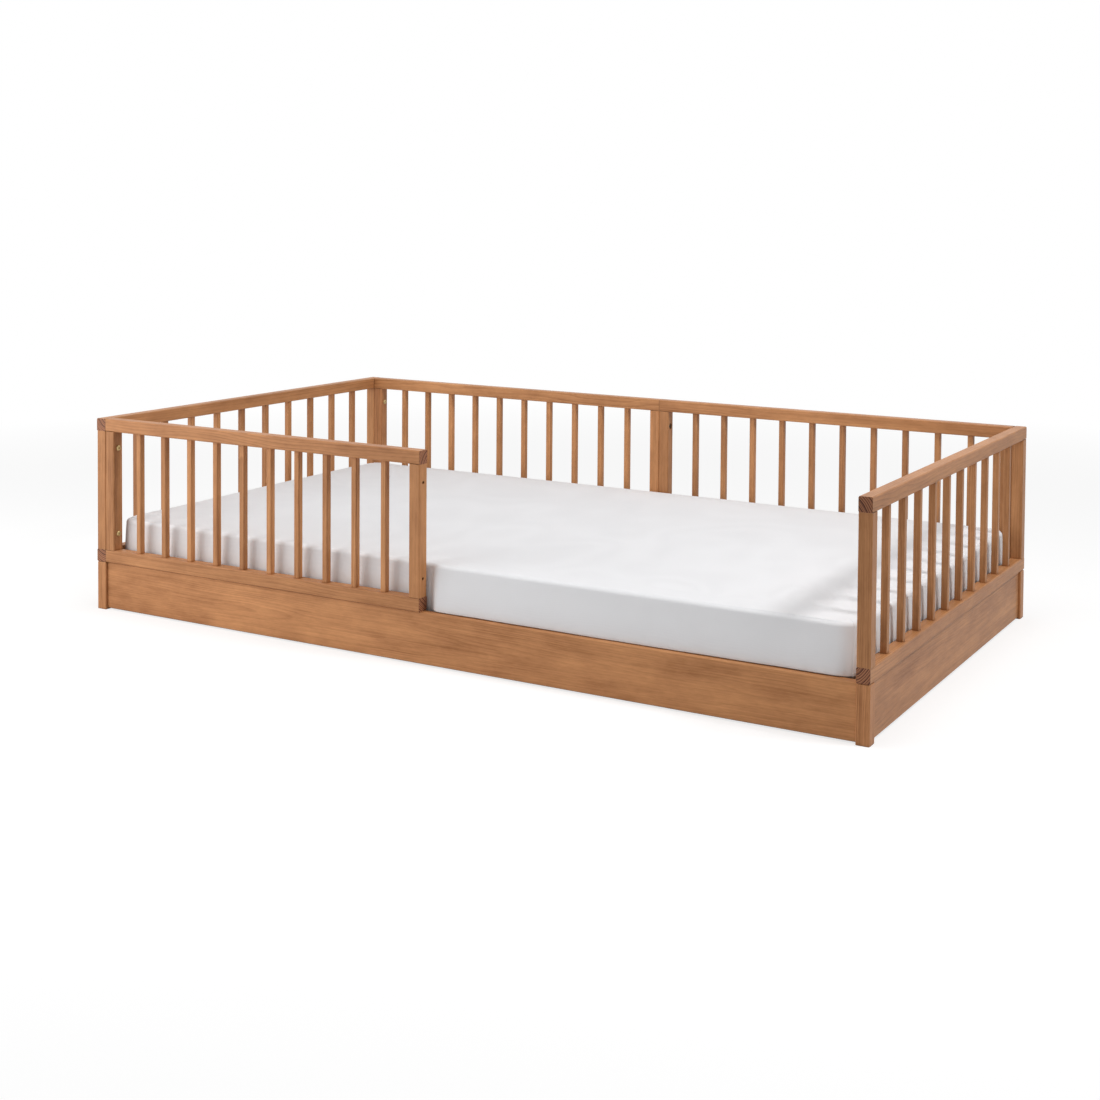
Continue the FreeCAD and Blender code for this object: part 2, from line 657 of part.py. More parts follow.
def soft_section(body, level, length, width, corner):
    """A rounded rectangle about the bed's middle line."""
    sketch = new_sketch(body, "XY_Plane", z=level)
    half_x, half_y, radius = 900.0, 450.0, 60.0
    bend = math.pi / 2
    spots = [(half_x - radius, radius - half_y, -bend), (half_x - radius, half_y - radius, 0),
             (radius - half_x, half_y - radius, bend), (radius - half_x, radius - half_y, 2 * bend)]
    arcs = []
    for x, y, start in spots:
        circle = Part.Circle(FreeCAD.Vector(x, y, 0), Z_AXIS, radius)
        arcs.append(Part.ArcOfCircle(circle, start, start + bend))
    for k, arc in enumerate(arcs):
        sketch.addGeometry(arc)
        sketch.addGeometry(Part.LineSegment(arc.EndPoint, arcs[(k + 1) % 4].StartPoint))
    for k in range(4):
        arc, line, after = 2 * k, 2 * k + 1, (2 * k + 2) % 8
        sketch.addConstraint(Sketcher.Constraint("Tangent", arc, 2, line, 1))
        sketch.addConstraint(Sketcher.Constraint("Tangent", line, 2, after, 1))
        sketch.addConstraint(Sketcher.Constraint("Horizontal" if k % 2 else "Vertical", line))
        if k:
            sketch.addConstraint(Sketcher.Constraint("Equal", 0, arc))
    sketch.addConstraint(Sketcher.Constraint("Symmetric", 0, 3, 4, 3, -1, 1))
    drive(sketch, "Radius", (0,), radius, "corner", corner)
    drive(sketch, "DistanceX", (5, 1, 1, 1), 2 * half_x, "long", length)
    drive(sketch, "DistanceY", (7, 1, 3, 1), 2 * half_y, "wide", width)
    return sketch


def soft_loft(body, kind, sections, grow):
    """A loft through the sections, grown outwards by grow."""
    made = []
    for stand_in, level, corner, out, up in sections:
        side = "(%s) * %.4f" % (grow, out)
        made.append(soft_section(
            body, level + " + (%s) * %.4f" % (grow, up),
            MATTRESS_LENGTH + " - 2 * (%s) + 2 * %s" % (stand_in, side),
            MATTRESS_WIDTH + " - 2 * (%s) + 2 * %s" % (stand_in, side), corner + " + " + side))
    loft = body.newObject("PartDesign::" + kind, body.Name + "_form")
    loft.Profile = (made[0], [""])
    loft.Sections = [(item, [""]) for item in made[1:]]
    loft.Ruled = True
    body.Tip = loft


mattress = new_piece("mattress", z=MATTRESS_BOTTOM)
soft_loft(mattress, "AdditiveLoft", soft_sections((0, 90), (90, 45, 0)), "0")
fitted_sheet = new_piece("fitted_sheet", z=MATTRESS_BOTTOM)
SKIRT = soft_sections((45, 90), (90, 45, 0))
soft_loft(fitted_sheet, "AdditiveLoft", SKIRT, "sheet_gap + sheet_thick")
soft_loft(fitted_sheet, "SubtractiveLoft", SKIRT, "sheet_gap")


# Check every feature and every piece, then write one file for each piece.

doc.recompute()
faults = [item.Label for item in doc.Objects
          if "Invalid" in item.State or "Error" in item.State]
for piece in pieces:
    if piece.Shape.isNull() or not piece.Shape.isValid() or not piece.Shape.Solids:
        faults.append(piece.Label)
if faults:
    raise ValueError("failed: " + ", ".join(faults))
os.makedirs("parts", exist_ok=True)
for piece in pieces:
    piece.Shape.exportStep("parts/" + piece.Label + ".step")
print("pieces:", len(pieces), "solids:", sum(len(piece.Shape.Solids) for piece in pieces))
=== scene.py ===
import math

import bmesh
import bpy
import numpy as np
from mathutils import Matrix, Vector, noise


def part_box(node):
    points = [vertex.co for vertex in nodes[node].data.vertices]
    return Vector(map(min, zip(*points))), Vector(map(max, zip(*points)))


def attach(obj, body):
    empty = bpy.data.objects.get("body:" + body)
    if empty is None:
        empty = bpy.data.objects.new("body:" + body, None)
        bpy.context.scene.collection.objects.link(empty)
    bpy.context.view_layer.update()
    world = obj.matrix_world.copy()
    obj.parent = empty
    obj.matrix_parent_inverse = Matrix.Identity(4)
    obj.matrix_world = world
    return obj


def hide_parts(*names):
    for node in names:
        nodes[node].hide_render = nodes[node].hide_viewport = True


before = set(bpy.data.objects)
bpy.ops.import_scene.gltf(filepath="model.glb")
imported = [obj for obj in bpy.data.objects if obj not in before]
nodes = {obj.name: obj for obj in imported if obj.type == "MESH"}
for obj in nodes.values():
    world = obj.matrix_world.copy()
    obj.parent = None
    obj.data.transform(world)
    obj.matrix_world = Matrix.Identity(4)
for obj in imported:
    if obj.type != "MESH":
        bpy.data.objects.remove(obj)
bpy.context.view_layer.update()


# Base: four wide boards between four corner posts that reach the floor. Close-grained wood of a
# honey tone under a satin oil, each stick planed from its own board. The wide boards are
# flat-sawn, so their rings show as long arches, and the cut ends drink more of the oil.

HONEY = {"early": (221, 158, 106), "late": (150, 96, 56), "end_light": (184, 124, 88),
         "end_dark": (76, 36, 22), "gloss": 0.44}

# how far apart in the noise two pieces, and two sticks of one node, are taken
PIECES_APART = 40
STICKS_APART = (0.9, 0.9, 0.9)

# rings: their width and how it wanders, how dark a ring is along its year, where the pith lies
# from the middle of a stick or a flat-sawn board, and how the rings wave along the stick
RING_WIDTH = 0.0042
SEASONS_PER_METRE, SEASON_SHIFT = 120, 1.6
RING_SHAPE = ((0.50, 0.25), (0.84, 1.0), (0.93, 0.75))
PITH_AWAY = 0.070
PITH_UNDER_BOARD, PITH_BESIDE_BOARD = 0.052, 0.011
PITH_SLOPE = 0.022
RING_WAVE, RING_RIPPLE = 0.030, 0.006

# the long faces: most that rings and dark lines show, and each other figure's features per metre
# along and across the grain, detail, roughness and strength
RING_SHOWS, RING_SHOWS_ON_BOARD = 0.34, 0.20
DARK_LINE = 0.16
FIGURES = {"streak": (5.0, 330.0, 3.0, 0.6, 0.60), "patch": (2.0, 13.0, 3.0, 0.5, 1.0),
           "fleck": (70.0, 420.0, 2.0, 0.5, 0.26), "cloud": (11.0, 30.0, 3.0, 0.6, 0.80)}

# wear and painted shade: how sticks of one node differ in tone, how wide and how much paler the
# rubbed edges are, how far the painted shade reaches out of a joint, and the oily line at a
# stick's end
STICK_TONES = (0.93, 1.05)
EDGE_ROUND, EDGE_PALER = 0.0015, 1.06
PAINTED_SHADE_REACH = 0.012
END_LINE = 0.0016

# relief of the fibre: how strong and deep it is, and how much the rings add to it
RELIEF_STRENGTH, RELIEF_DEPTH = 0.35, 0.0003
RING_RELIEF = 0.22


def rgb(red, green, blue):
    """A colour as a screen shows it, from 0 to 255, as the linear values that a shader takes."""
    def linear(value):
        value /= 255
        return value / 12.92 if value <= 0.04045 else ((value + 0.055) / 1.055) ** 2.4
    return (linear(red), linear(green), linear(blue), 1.0)


def own_number(name, most):
    """A number from 0 to 1 that belongs to a piece's name, the same on every run."""
    return sum(ord(letter) * place for place, letter in enumerate(name, start=3)) % most / most


class Wiring:
    """A node tree, with short words for the steps that build it."""

    def __init__(self, tree):
        self.tree = tree

    def wire(self, value, socket):
        if isinstance(value, bpy.types.NodeSocket):
            self.tree.links.new(value, socket)
        else:
            socket.default_value = value

    def step(self, kind, values=None, **settings):
        """A shader node. values fills its inputs, by number or name, from outputs or numbers."""
        made = self.tree.nodes.new(kind)
        for name, value in settings.items():
            setattr(made, name, value)
        for key, value in (values or {}).items():
            self.wire(value, made.inputs[key])
        return made

    def sum(self, first, second):
        return self.step("ShaderNodeMath", {0: first, 1: second}, operation="ADD").outputs[0]

    def times(self, first, second):
        return self.step("ShaderNodeMath", {0: first, 1: second}, operation="MULTIPLY").outputs[0]

    def between(self, value, low, high, to_low=0.0, to_high=1.0):
        """value as a share of the way from low to high, laid on to_low to to_high."""
        return self.step("ShaderNodeMapRange", {0: value, 1: low, 2: high, 3: to_low,
                                                4: to_high}).outputs[0]

    def colour(self, share, first, second, how="MIX"):
        mixed = self.step("ShaderNodeMix", {0: share, 6: first, 7: second}, data_type="RGBA",
                          blend_type=how)
        return mixed.outputs[2]

    def place(self):
        return self.step("ShaderNodeTexCoord").outputs["Object"]


class Finish(Wiring):
    """A new material, its node tree and the shader that its surface ends in."""

    def __init__(self, name):
        self.material = bpy.data.materials.new(name)
        self.material.use_nodes = True
        super().__init__(self.material.node_tree)
        self.skin = self.tree.nodes["Principled BSDF"]

    def surface(self, colour, roughness, height, strength, depth, under=None):
        """Lays a colour, a roughness and a relief of depth metres on the surface."""
        self.wire(colour, self.skin.inputs["Base Color"])
        self.wire(roughness, self.skin.inputs["Roughness"])
        bump = self.step("ShaderNodeBump", {"Strength": strength, "Distance": depth,
                                            "Height": height})
        if under is not None:
            self.wire(under, bump.inputs["Normal"])
        self.tree.links.new(bump.outputs[0], self.skin.inputs["Normal"])

    def dress(self, *pieces):
        for piece in pieces:
            piece.data.materials.clear()
            piece.data.materials.append(self.material)


class SawnWood(Finish):
    """Solid wood for one node. The grain runs along axis 0, 1 or 2 for X, Y or Z. row is
    (axis, count, width) where the node holds a row of sticks, each from its own board."""

    def __init__(self, name, grain, row=None):
        super().__init__(name + "_wood")
        self.name, self.grain = name, grain
        self.first, self.second = (grain + 1) % 3, (grain + 2) % 3
        self.low, self.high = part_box(name)
        place = self.place()
        self.own_axes = self.step("ShaderNodeSeparateXYZ", {0: place}).outputs
        self.stick_share = 0.5
        if row:
            axis, count, width = row
            pitch = (self.high[axis] - self.low[axis] - width) / (count - 1)
            start = pitch / 2 - width / 2 - self.low[axis]
            cell = self.times(self.sum(self.own_axes[axis], start), 1 / pitch)
            stick = self.step("ShaderNodeMath", {0: cell}, operation="FLOOR").outputs[0]
            own = self.step("ShaderNodeTexWhiteNoise", {"W": stick}, noise_dimensions="1D")
            self.stick_share = own.outputs["Value"]
            moved = self.step("ShaderNodeVectorMath", {0: own.outputs["Color"], 1: STICKS_APART},
                              operation="MULTIPLY")
            place = self.step("ShaderNodeVectorMath", {0: place, 1: moved.outputs[0]},
                              operation="ADD").outputs[0]
        self.axes = self.step("ShaderNodeSeparateXYZ", {0: place}).outputs

    def drawn_out(self, along_scale, across_scale, detail, rough=0.5):
        """Noise drawn out along the grain, with features of about 1 / scale metres."""
        stretched = self.step("ShaderNodeCombineXYZ", {
            0: self.times(self.axes[self.grain], along_scale),
            1: self.times(self.axes[self.first], across_scale),
            2: self.times(self.axes[self.second], across_scale)})
        own_board = (PIECES_APART * own_number(self.name, 31), 7.3, 2.1)
        moved = self.step("ShaderNodeVectorMath", {0: stretched.outputs[0], 1: own_board},
                          operation="ADD")
        return self.step("ShaderNodeTexNoise", {
            "Vector": moved.outputs[0], "Scale": 1.0, "Detail": detail,
            "Roughness": rough}).outputs

    def pith(self, flat_sawn):
        """Where the pith lies from the stick's middle, and how it slopes along the stick."""
        if not flat_sawn:
            turns = int(4 * own_number(self.name, 23)) + 0.35 + 0.3 * own_number(self.name, 11)
            bearing = math.pi / 2 * turns
            return (PITH_AWAY * math.cos(bearing), PITH_AWAY * math.sin(bearing)), (0.0, 0.0)
        side = 1 if own_number(self.name, 7) > 0.5 else -1
        away, slope = (PITH_BESIDE_BOARD, PITH_UNDER_BOARD * side), (0.0, PITH_SLOPE * side)
        spread = self.high - self.low
        if spread[self.first] < spread[self.second]:
            return away[::-1], slope[::-1]
        return away, slope

    def rings(self, flat_sawn):
        """How dark the rings are at each point, by how far it lies from the pith."""
        away, slope = self.pith(flat_sawn)
        waves = self.step("ShaderNodeSeparateXYZ",
                          {0: self.drawn_out(1.7, 7.0, 2.0)["Color"]}).outputs
        ripples = self.step("ShaderNodeSeparateXYZ",
                            {0: self.drawn_out(7.0, 26.0, 2.0)["Color"]}).outputs
        off = []
        for number, axis in enumerate((self.first, self.second)):
            middle = (self.low[axis] + self.high[axis]) / 2
            bend = self.sum(self.times(waves[number], RING_WAVE),
                            self.times(ripples[number], RING_RIPPLE))
            start = away[number] - middle - (RING_WAVE + RING_RIPPLE) / 2
            lean = self.sum(self.times(self.axes[self.grain], slope[number]), start)
            off.append(self.sum(self.axes[axis], self.sum(bend, lean)))
        flat = self.step("ShaderNodeCombineXYZ", {0: off[0], 1: off[1]})
        reach = self.step("ShaderNodeVectorMath", {0: flat.outputs[0]}, operation="LENGTH")
        radius = reach.outputs["Value"]
        seasons = self.step("ShaderNodeTexNoise", {
            "W": self.times(radius, SEASONS_PER_METRE), "Scale": 1.0, "Detail": 1.0},
            noise_dimensions="1D")
        years = self.sum(self.times(radius, 1 / RING_WIDTH),
                         self.times(seasons.outputs[0], SEASON_SHIFT))
        year = self.step("ShaderNodeMath", {0: years}, operation="FRACT").outputs[0]
        ring = self.step("ShaderNodeValToRGB", {0: year})
        for end in ring.color_ramp.elements:
            end.color = (0, 0, 0, 1)
        for spot, level in RING_SHAPE:
            ring.color_ramp.elements.new(spot).color = (level, level, level, 1)
        return ring.outputs["Color"]

    def long_faces(self, ring, stain, flat_sawn):
        """Faint rings that come and go, a few dark lines, streaks, patches, flecks, clouds."""
        most = RING_SHOWS_ON_BOARD if flat_sawn else RING_SHOWS
        fading = self.between(self.drawn_out(2.4, 16.0, 1.0)["Fac"], 0.35, 0.65, 0.05, most)
        line = self.between(self.drawn_out(1.4, 110.0, 1.0)["Fac"], 0.62, 0.74, 0.0, DARK_LINE)
        weight = self.sum(self.times(self.sum(ring, -0.35), fading), line)
        for along_scale, across_scale, detail, rough, strength in FIGURES.values():
            figure = self.drawn_out(along_scale, across_scale, detail, rough)["Fac"]
            weight = self.sum(weight, self.times(self.sum(figure, -0.5), strength))
        return self.colour(self.between(weight, -0.5, 0.5), rgb(*stain["early"]),
                           rgb(*stain["late"]))

    def cut_ends(self, ring, stain):
        """The rings stand out, and the pores are dark."""
        pores = self.drawn_out(800.0, 800.0, 2.0)["Fac"]
        share = self.between(self.sum(ring, self.times(pores, 0.3)), 0.18, 0.95)
        return self.colour(share, rgb(*stain["end_light"]), rgb(*stain["end_dark"]))

    def is_end(self):
        """1 on a face across the grain, and 0 on the long faces."""
        normal = self.step("ShaderNodeTexCoord").outputs["Normal"]
        facing = self.step("ShaderNodeSeparateXYZ", {0: normal}).outputs[self.grain]
        straight = self.step("ShaderNodeMath", {0: facing}, operation="ABSOLUTE").outputs[0]
        return self.between(straight, 0.75, 0.9)

    def toned(self, colour, tone):
        """The colour in the piece's own tone, which also differs from stick to stick."""
        tone *= 0.93 + 0.12 * own_number(self.name, 17)
        warm = 1.0 + 0.03 * (own_number(self.name, 13) - 0.5)
        dark, pale = ((tone * share * warm, tone * share, tone * share, 1.0)
                      for share in STICK_TONES)
        return self.colour(1.0, colour, self.colour(self.stick_share, dark, pale), "MULTIPLY")

    def rubbed(self, colour, rounded, early):
        """The colour with its edges rubbed paler, where the rounded normal leaves the face."""
        normal = self.step("ShaderNodeNewGeometry").outputs["Normal"]
        turn = self.step("ShaderNodeVectorMath", {0: rounded, 1: normal},
                         operation="DOT_PRODUCT")
        edge = self.between(turn.outputs["Value"], 0.99, 0.80)
        worn = self.between(self.drawn_out(30.0, 60.0, 2.0)["Fac"], 0.40, 0.60, 0.10, 0.45)
        pale = rgb(*(min(value * EDGE_PALER, 255) for value in early))
        return self.colour(self.times(edge, worn), colour, pale)

    def oil_line_and_painted_shade(self, colour, is_end):
        """The colour with painted shade in the nooks where other parts stand near, and with dark
        oil in a thin line at a stick's two ends.
        """
        # painted shade: ambient occlusion darkens the colour in joints, corners and under rails,
        # where shade falls
        painted_shade = self.step("ShaderNodeAmbientOcclusion", {"Distance": PAINTED_SHADE_REACH}, samples=4)
        along, low, high = self.own_axes[self.grain], self.low[self.grain], self.high[self.grain]
        from_ends = self.times(self.between(along, low, low + END_LINE),
                               self.between(along, high, high - END_LINE))
        # the painted shade from the nooks, times the dark oil line near a stick's ends
        dark = self.times(self.between(painted_shade.outputs["AO"], 0.15, 0.75, 0.60, 1.0),
                          self.between(self.sum(from_ends, is_end), 0.0, 1.0, 0.50, 1.0))
        shade = self.step("ShaderNodeCombineXYZ", {0: dark, 1: dark, 2: dark})
        return self.colour(1.0, colour, shade.outputs[0], "MULTIPLY")


def sawn_wood(name, grain, stain, flat_sawn=False, row=None, tone=1.0):
    """Dresses a node in solid wood. tone makes its whole colour darker or lighter."""
    wood = SawnWood(name, grain, row)
    ring, is_end = wood.rings(flat_sawn), wood.is_end()
    rounded = wood.step("ShaderNodeBevel", {"Radius": EDGE_ROUND}, samples=4).outputs[0]
    colour = wood.colour(is_end, wood.long_faces(ring, stain, flat_sawn),
                         wood.cut_ends(ring, stain))
    colour = wood.rubbed(wood.toned(colour, tone), rounded, stain["early"])
    # the oil lies thinner on the hard lines, so the gloss and the relief follow the fibre
    fibre = wood.drawn_out(40.0, 1500.0, 2.0, 0.6)["Fac"]
    roughness = wood.between(fibre, 0.3, 0.7, stain["gloss"] - 0.07, stain["gloss"] + 0.09)
    wood.skin.inputs["Specular IOR Level"].default_value = 0.24
    relief = wood.sum(fibre, wood.times(ring, RING_RELIEF))
    wood.surface(wood.oil_line_and_painted_shade(colour, is_end), roughness, relief, RELIEF_STRENGTH, RELIEF_DEPTH,
                 under=rounded)
    wood.dress(nodes[name])


for corner in ("front_left", "front_right", "back_right", "back_left"):
    sawn_wood("base_post_" + corner, 2, HONEY)
for board, grain, tone in (("base_front_board", 0, 1.02), ("base_back_board", 0, 0.96),
                           ("base_left_board", 1, 1.0), ("base_right_board", 1, 0.98)):
    sawn_wood(board, grain, HONEY, flat_sawn=True, tone=tone)


# Inside the base: blocks in the corners, cleats along the two long boards, and a beam on three
# feet down the middle. Plain planed pine with no finish, which shows from below and when the
# mattress is out. Flat loose keys of the same pine stand in the base and hold the guards.

PINE = {"early": (232, 206, 160), "late": (188, 142, 92), "end_light": (206, 170, 120),
        "end_dark": (150, 106, 66), "gloss": 0.62}
BLOCKS = [name for name in sorted(nodes) if name.startswith("corner_block")]

for name in BLOCKS + ["locating_keys"]:
    sawn_wood(name, 2, PINE)
for name in ("front_cleat", "back_cleat", "centre_beam", "beam_foot_left",
             "beam_foot_middle", "beam_foot_right"):
    sawn_wood(name, 0, PINE)


# Wood screws: pan heads with a cross recess, zinc-plated and passivated yellow. Four hold each
# corner block to its two boards, and a row holds each cleat to its board.

SCREW_RADIUS = 0.0042
SCREW_RISE = 0.0022
BRIM_SHARE, CROWN_SHARE = 0.35, 0.78
RECESS_DEPTH = 0.0016
RECESS_LONG, RECESS_WIDE = 0.0023, 0.0006
RECESS_TAPER = 0.7
CLEAT_SCREWS = 8
BLOCK_SCREW_UP, BLOCK_SCREW_ASIDE = 0.011, 0.003


def plated_steel(name, colour, roughness):
    """Bright plate with a faint cloud in its colour, its gloss and its surface."""
    finish = Finish(name)
    finish.skin.inputs["Metallic"].default_value = 1.0
    cloud = finish.step("ShaderNodeTexNoise", {"Vector": finish.place(), "Scale": 420.0,
                                               "Detail": 3.0}).outputs["Fac"]
    light = rgb(*colour)
    dull = tuple(value * 0.66 for value in light[:3]) + (1.0,)
    finish.surface(finish.colour(cloud, light, dull),
                   finish.between(cloud, 0.3, 0.7, roughness - 0.06, roughness + 0.10),
                   cloud, 0.25, 0.0001)
    return finish


def ring_of(form, frame_of, radius, height, count=24):
    return [form.verts.new(frame_of @ Vector((radius * math.cos(2 * math.pi * i / count),
                                              radius * math.sin(2 * math.pi * i / count),
                                              height))) for i in range(count)]


def join_rings(form, low, high):
    for i in range(len(low)):
        j = (i + 1) % len(low)
        form.faces.new([low[i], low[j], high[j], high[i]])


def frame_at(place, facing):
    """The frame of a round thing that stands at place with its axis along facing."""
    turn = Vector(facing).to_track_quat("Z", "Y").to_matrix().to_4x4()
    return Matrix.Translation(place) @ turn


def screw_head(form, place, facing):
    """A pan head that stands on a face at place and looks along facing."""
    frame_of = frame_at(place, facing)
    foot = ring_of(form, frame_of, SCREW_RADIUS, 0)
    brim = ring_of(form, frame_of, SCREW_RADIUS, SCREW_RISE * BRIM_SHARE)
    crown = ring_of(form, frame_of, SCREW_RADIUS * CROWN_SHARE, SCREW_RISE)
    form.faces.new(reversed(foot))
    join_rings(form, foot, brim)
    join_rings(form, brim, crown)
    # the recess: a cross of twelve corners, two points of the crown for each
    long, wide = RECESS_LONG, RECESS_WIDE
    cross = [(long, wide), (wide, wide), (wide, long), (-wide, long), (-wide, wide),
             (-long, wide), (-long, -wide), (-wide, -wide), (-wide, -long), (wide, -long),
             (wide, -wide), (long, -wide)]
    mouth = [form.verts.new(frame_of @ Vector((x, y, SCREW_RISE))) for x, y in cross]
    pit = [form.verts.new(frame_of @ Vector((x * RECESS_TAPER, y * RECESS_TAPER,
                                             SCREW_RISE - RECESS_DEPTH))) for x, y in cross]
    for i in range(len(cross)):
        j = (i + 1) % len(cross)
        rim = [crown[(2 * i + step) % len(crown)] for step in (1, 2, 3)]
        form.faces.new(rim + [mouth[j], mouth[i]])
    join_rings(form, mouth, pit)
    form.faces.new(pit)


def new_piece(name, form):
    """A piece from a finished bmesh, shaded smooth except over sharp edges."""
    bmesh.ops.recalc_face_normals(form, faces=form.faces)
    mesh = bpy.data.meshes.new(name)
    form.to_mesh(mesh)
    form.free()
    mesh.shade_smooth()
    mesh.set_sharp_from_angle(angle=math.radians(35))
    piece = bpy.data.objects.new(name, mesh)
    bpy.context.scene.collection.objects.link(piece)
    return piece


screws = bmesh.new()
for name in BLOCKS:
    low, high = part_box(name)
    middle = (low + high) / 2
    in_x, in_y = -math.copysign(1, middle.x), -math.copysign(1, middle.y)
    face_x = high.x if in_x > 0 else low.x
    face_y = high.y if in_y > 0 else low.y
    for up in (-BLOCK_SCREW_UP, BLOCK_SCREW_UP):
        screw_head(screws, (face_x, middle.y - BLOCK_SCREW_ASIDE * in_y, middle.z + up),
                   (in_x, 0, 0))
        screw_head(screws, (middle.x - BLOCK_SCREW_ASIDE * in_x, face_y, middle.z - up),
                   (0, in_y, 0))
for name, inward in (("front_cleat", 1), ("back_cleat", -1)):
    low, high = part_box(name)
    for number in range(CLEAT_SCREWS):
        along = low.x + (high.x - low.x) * (number + 0.5) / CLEAT_SCREWS
        screw_head(screws, (along, high.y if inward > 0 else low.y, (low.z + high.z) / 2),
                   (0, inward, 0))
wood_screws = new_piece("wood_screws", screws)
plated_steel("yellow_zinc", (222, 196, 134), 0.30).dress(wood_screws)
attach(wood_screws, "bed")


# Slats: thirteen loose boards of planed pine across the bed, kept apart by two woven straps
# under them. A wire staple holds each strap to each slat.

SLAT_COUNT = 13
SLAT_WIDTH = 0.070
STAPLE_WIRE = 0.0010
STAPLE_CROWN = 0.011
STAPLE_LEG = 0.0030
STAPLE_BEND_IN, STAPLE_BEND_UP = 0.0006, 0.0004
STAPLE_PROUD = 0.3 * STAPLE_WIRE

sawn_wood("slats", 1, PINE, row=(0, SLAT_COUNT, SLAT_WIDTH))

webbing = Finish("strap_webbing")
spot = webbing.place()
ribs = webbing.step("ShaderNodeTexWave", {"Vector": spot, "Scale": 180.0, "Distortion": 0.6},
                    bands_direction="X").outputs["Fac"]
yarn = webbing.step("ShaderNodeTexWave", {"Vector": spot, "Scale": 160.0},
                    bands_direction="Y").outputs["Fac"]
woven = webbing.times(ribs, yarn)
webbing.surface(webbing.colour(woven, rgb(186, 184, 178), rgb(230, 228, 222)),
                webbing.between(woven, 0.0, 1.0, 0.86, 0.72), woven, 0.6, 0.0005)
webbing.dress(nodes["slat_strap_front"], nodes["slat_strap_back"])


def staple(form, x, y, z):
    """A wire across a strap's underside at x, y, z. Its two ends turn up into the slat."""
    half = STAPLE_CROWN / 2
    bend = half - STAPLE_BEND_IN
    rings = []
    for across, up in ((-half, STAPLE_LEG), (-half, STAPLE_BEND_UP), (-bend, 0.0), (bend, 0.0),
                       (half, STAPLE_BEND_UP), (half, STAPLE_LEG)):
        middle = Vector((x, y + across, z + up - STAPLE_PROUD))
        ring = []
        for angle in (math.pi / 3 * k for k in range(6)):
            off = Vector((math.cos(angle), 0, math.sin(angle)))
            if up:
                # a leg is half round, with its flat towards the strap's middle
                off = Vector((math.cos(angle), math.copysign(math.sin(angle), across), 0))
            ring.append(form.verts.new(middle + STAPLE_WIRE / 2 * off))
        rings.append(ring)
    for start, end in zip(rings, rings[1:]):
        join_rings(form, start, end)
    form.faces.new(reversed(rings[0]))
    form.faces.new(rings[-1])


staples = bmesh.new()
slats_low, slats_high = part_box("slats")
slat_pitch = (slats_high.x - slats_low.x - SLAT_WIDTH) / (SLAT_COUNT - 1)
for strap in ("slat_strap_front", "slat_strap_back"):
    low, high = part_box(strap)
    for number in range(SLAT_COUNT):
        staple(staples, slats_low.x + SLAT_WIDTH / 2 + slat_pitch * number,
               (low.y + high.y) / 2, low.z)
strap_staples = new_piece("strap_staples", staples)
plated_steel("staple_wire", (188, 190, 194), 0.34).dress(strap_staples)
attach(strap_staples, "bed")


# Guards: five frames, each of two rails that lie on two posts and ten slim spindles. The rails
# run along their guard, and the posts and spindles stand upright in them on glued stub tenons.

SPINDLE_COUNT = 10
SPINDLE_SIDE = 0.014

for guard, axis, tone in (("left_guard", 1, 0.95), ("right_guard", 1, 0.84),
                          ("front_guard", 0, 0.97), ("back_left_guard", 0, 1.02),
                          ("back_right_guard", 0, 0.87)):
    for name in [name for name in sorted(nodes) if name.startswith(guard)]:
        row = (axis, SPINDLE_COUNT, SPINDLE_SIDE) if name.endswith("spindles") else None
        sawn_wood(name, axis if name.endswith("rail") else 2, HONEY, row=row, tone=tone)


# Bolts: steel, with round bevelled heads and a key socket, zinc-plated and passivated yellow.
# The same plate at the back seam is painted darker, a painted shade for the sunk heads that lie
# in the shadow of their recesses. The right guard's front post keeps its two threaded inserts,
# brass rings sunk in its inner face, for a second front guard that isn't fitted.

INSERT_OUTSIDE = 0.0034
INSERT_CREST, INSERT_ROOT = 0.0026, 0.0030
INSERT_SUNK, INSERT_DEEP = 0.0006, 0.011
INSERT_FROM_RAIL = 0.040
THREAD_PITCH = 0.0010

plated_steel("bolt_plate", (206, 180, 128), 0.30).dress(nodes["corner_bolts"])
# painted shade: the seam bolts take a darker copy of the bolt plate for the shade in their
# recesses
plated_steel("shaded_bolt_plate", (112, 92, 66), 0.38).dress(nodes["seam_bolts"])

# an insert in section: down its outside, and up its bore over the crests of the thread
profile = [(INSERT_OUTSIDE, INSERT_DEEP), (INSERT_OUTSIDE, INSERT_SUNK)]
depth = INSERT_SUNK
while depth < INSERT_DEEP - THREAD_PITCH / 2:
    profile += [(INSERT_CREST, depth), (INSERT_ROOT, depth + THREAD_PITCH / 2)]
    depth += THREAD_PITCH
profile.append((INSERT_CREST, INSERT_DEEP))

inserts = bmesh.new()
post_low, post_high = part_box("right_guard_front_post")
for up in (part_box("right_guard_bottom_rail")[1].z + INSERT_FROM_RAIL,
           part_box("right_guard_top_rail")[0].z - INSERT_FROM_RAIL):
    frame_of = frame_at((post_low.x, (post_low.y + post_high.y) / 2, up), (1, 0, 0))
    rings = [ring_of(inserts, frame_of, radius, depth) for radius, depth in profile]
    for start, end in zip(rings, rings[1:] + rings[:1]):
        join_rings(inserts, start, end)
threaded_inserts = new_piece("threaded_inserts", inserts)
plated_steel("turned_brass", (212, 176, 96), 0.26).dress(threaded_inserts)
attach(threaded_inserts, "bed")


# Mattress: a foam block in a knitted cover, round at its edges, with a stitched seam round its
# top and bottom. It lies loose on the slats and lifts straight out. At the way in no guard
# holds its side back, so that side swells out over the edge of the front board.

MATTRESS_LOW, MATTRESS_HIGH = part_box("mattress")
CORNER_ROUND = 0.040
TOP_ROUND, LOW_ROUND = 0.008, 0.022
SIDE_SWELL = 0.003
CROWN_RISE = 0.002
CROWN_START, CROWN_END = 0.008, 0.060
COVER_IN = 0.0015
SEAM_DEEP, SEAM_WIDE = 0.0018, 0.0022

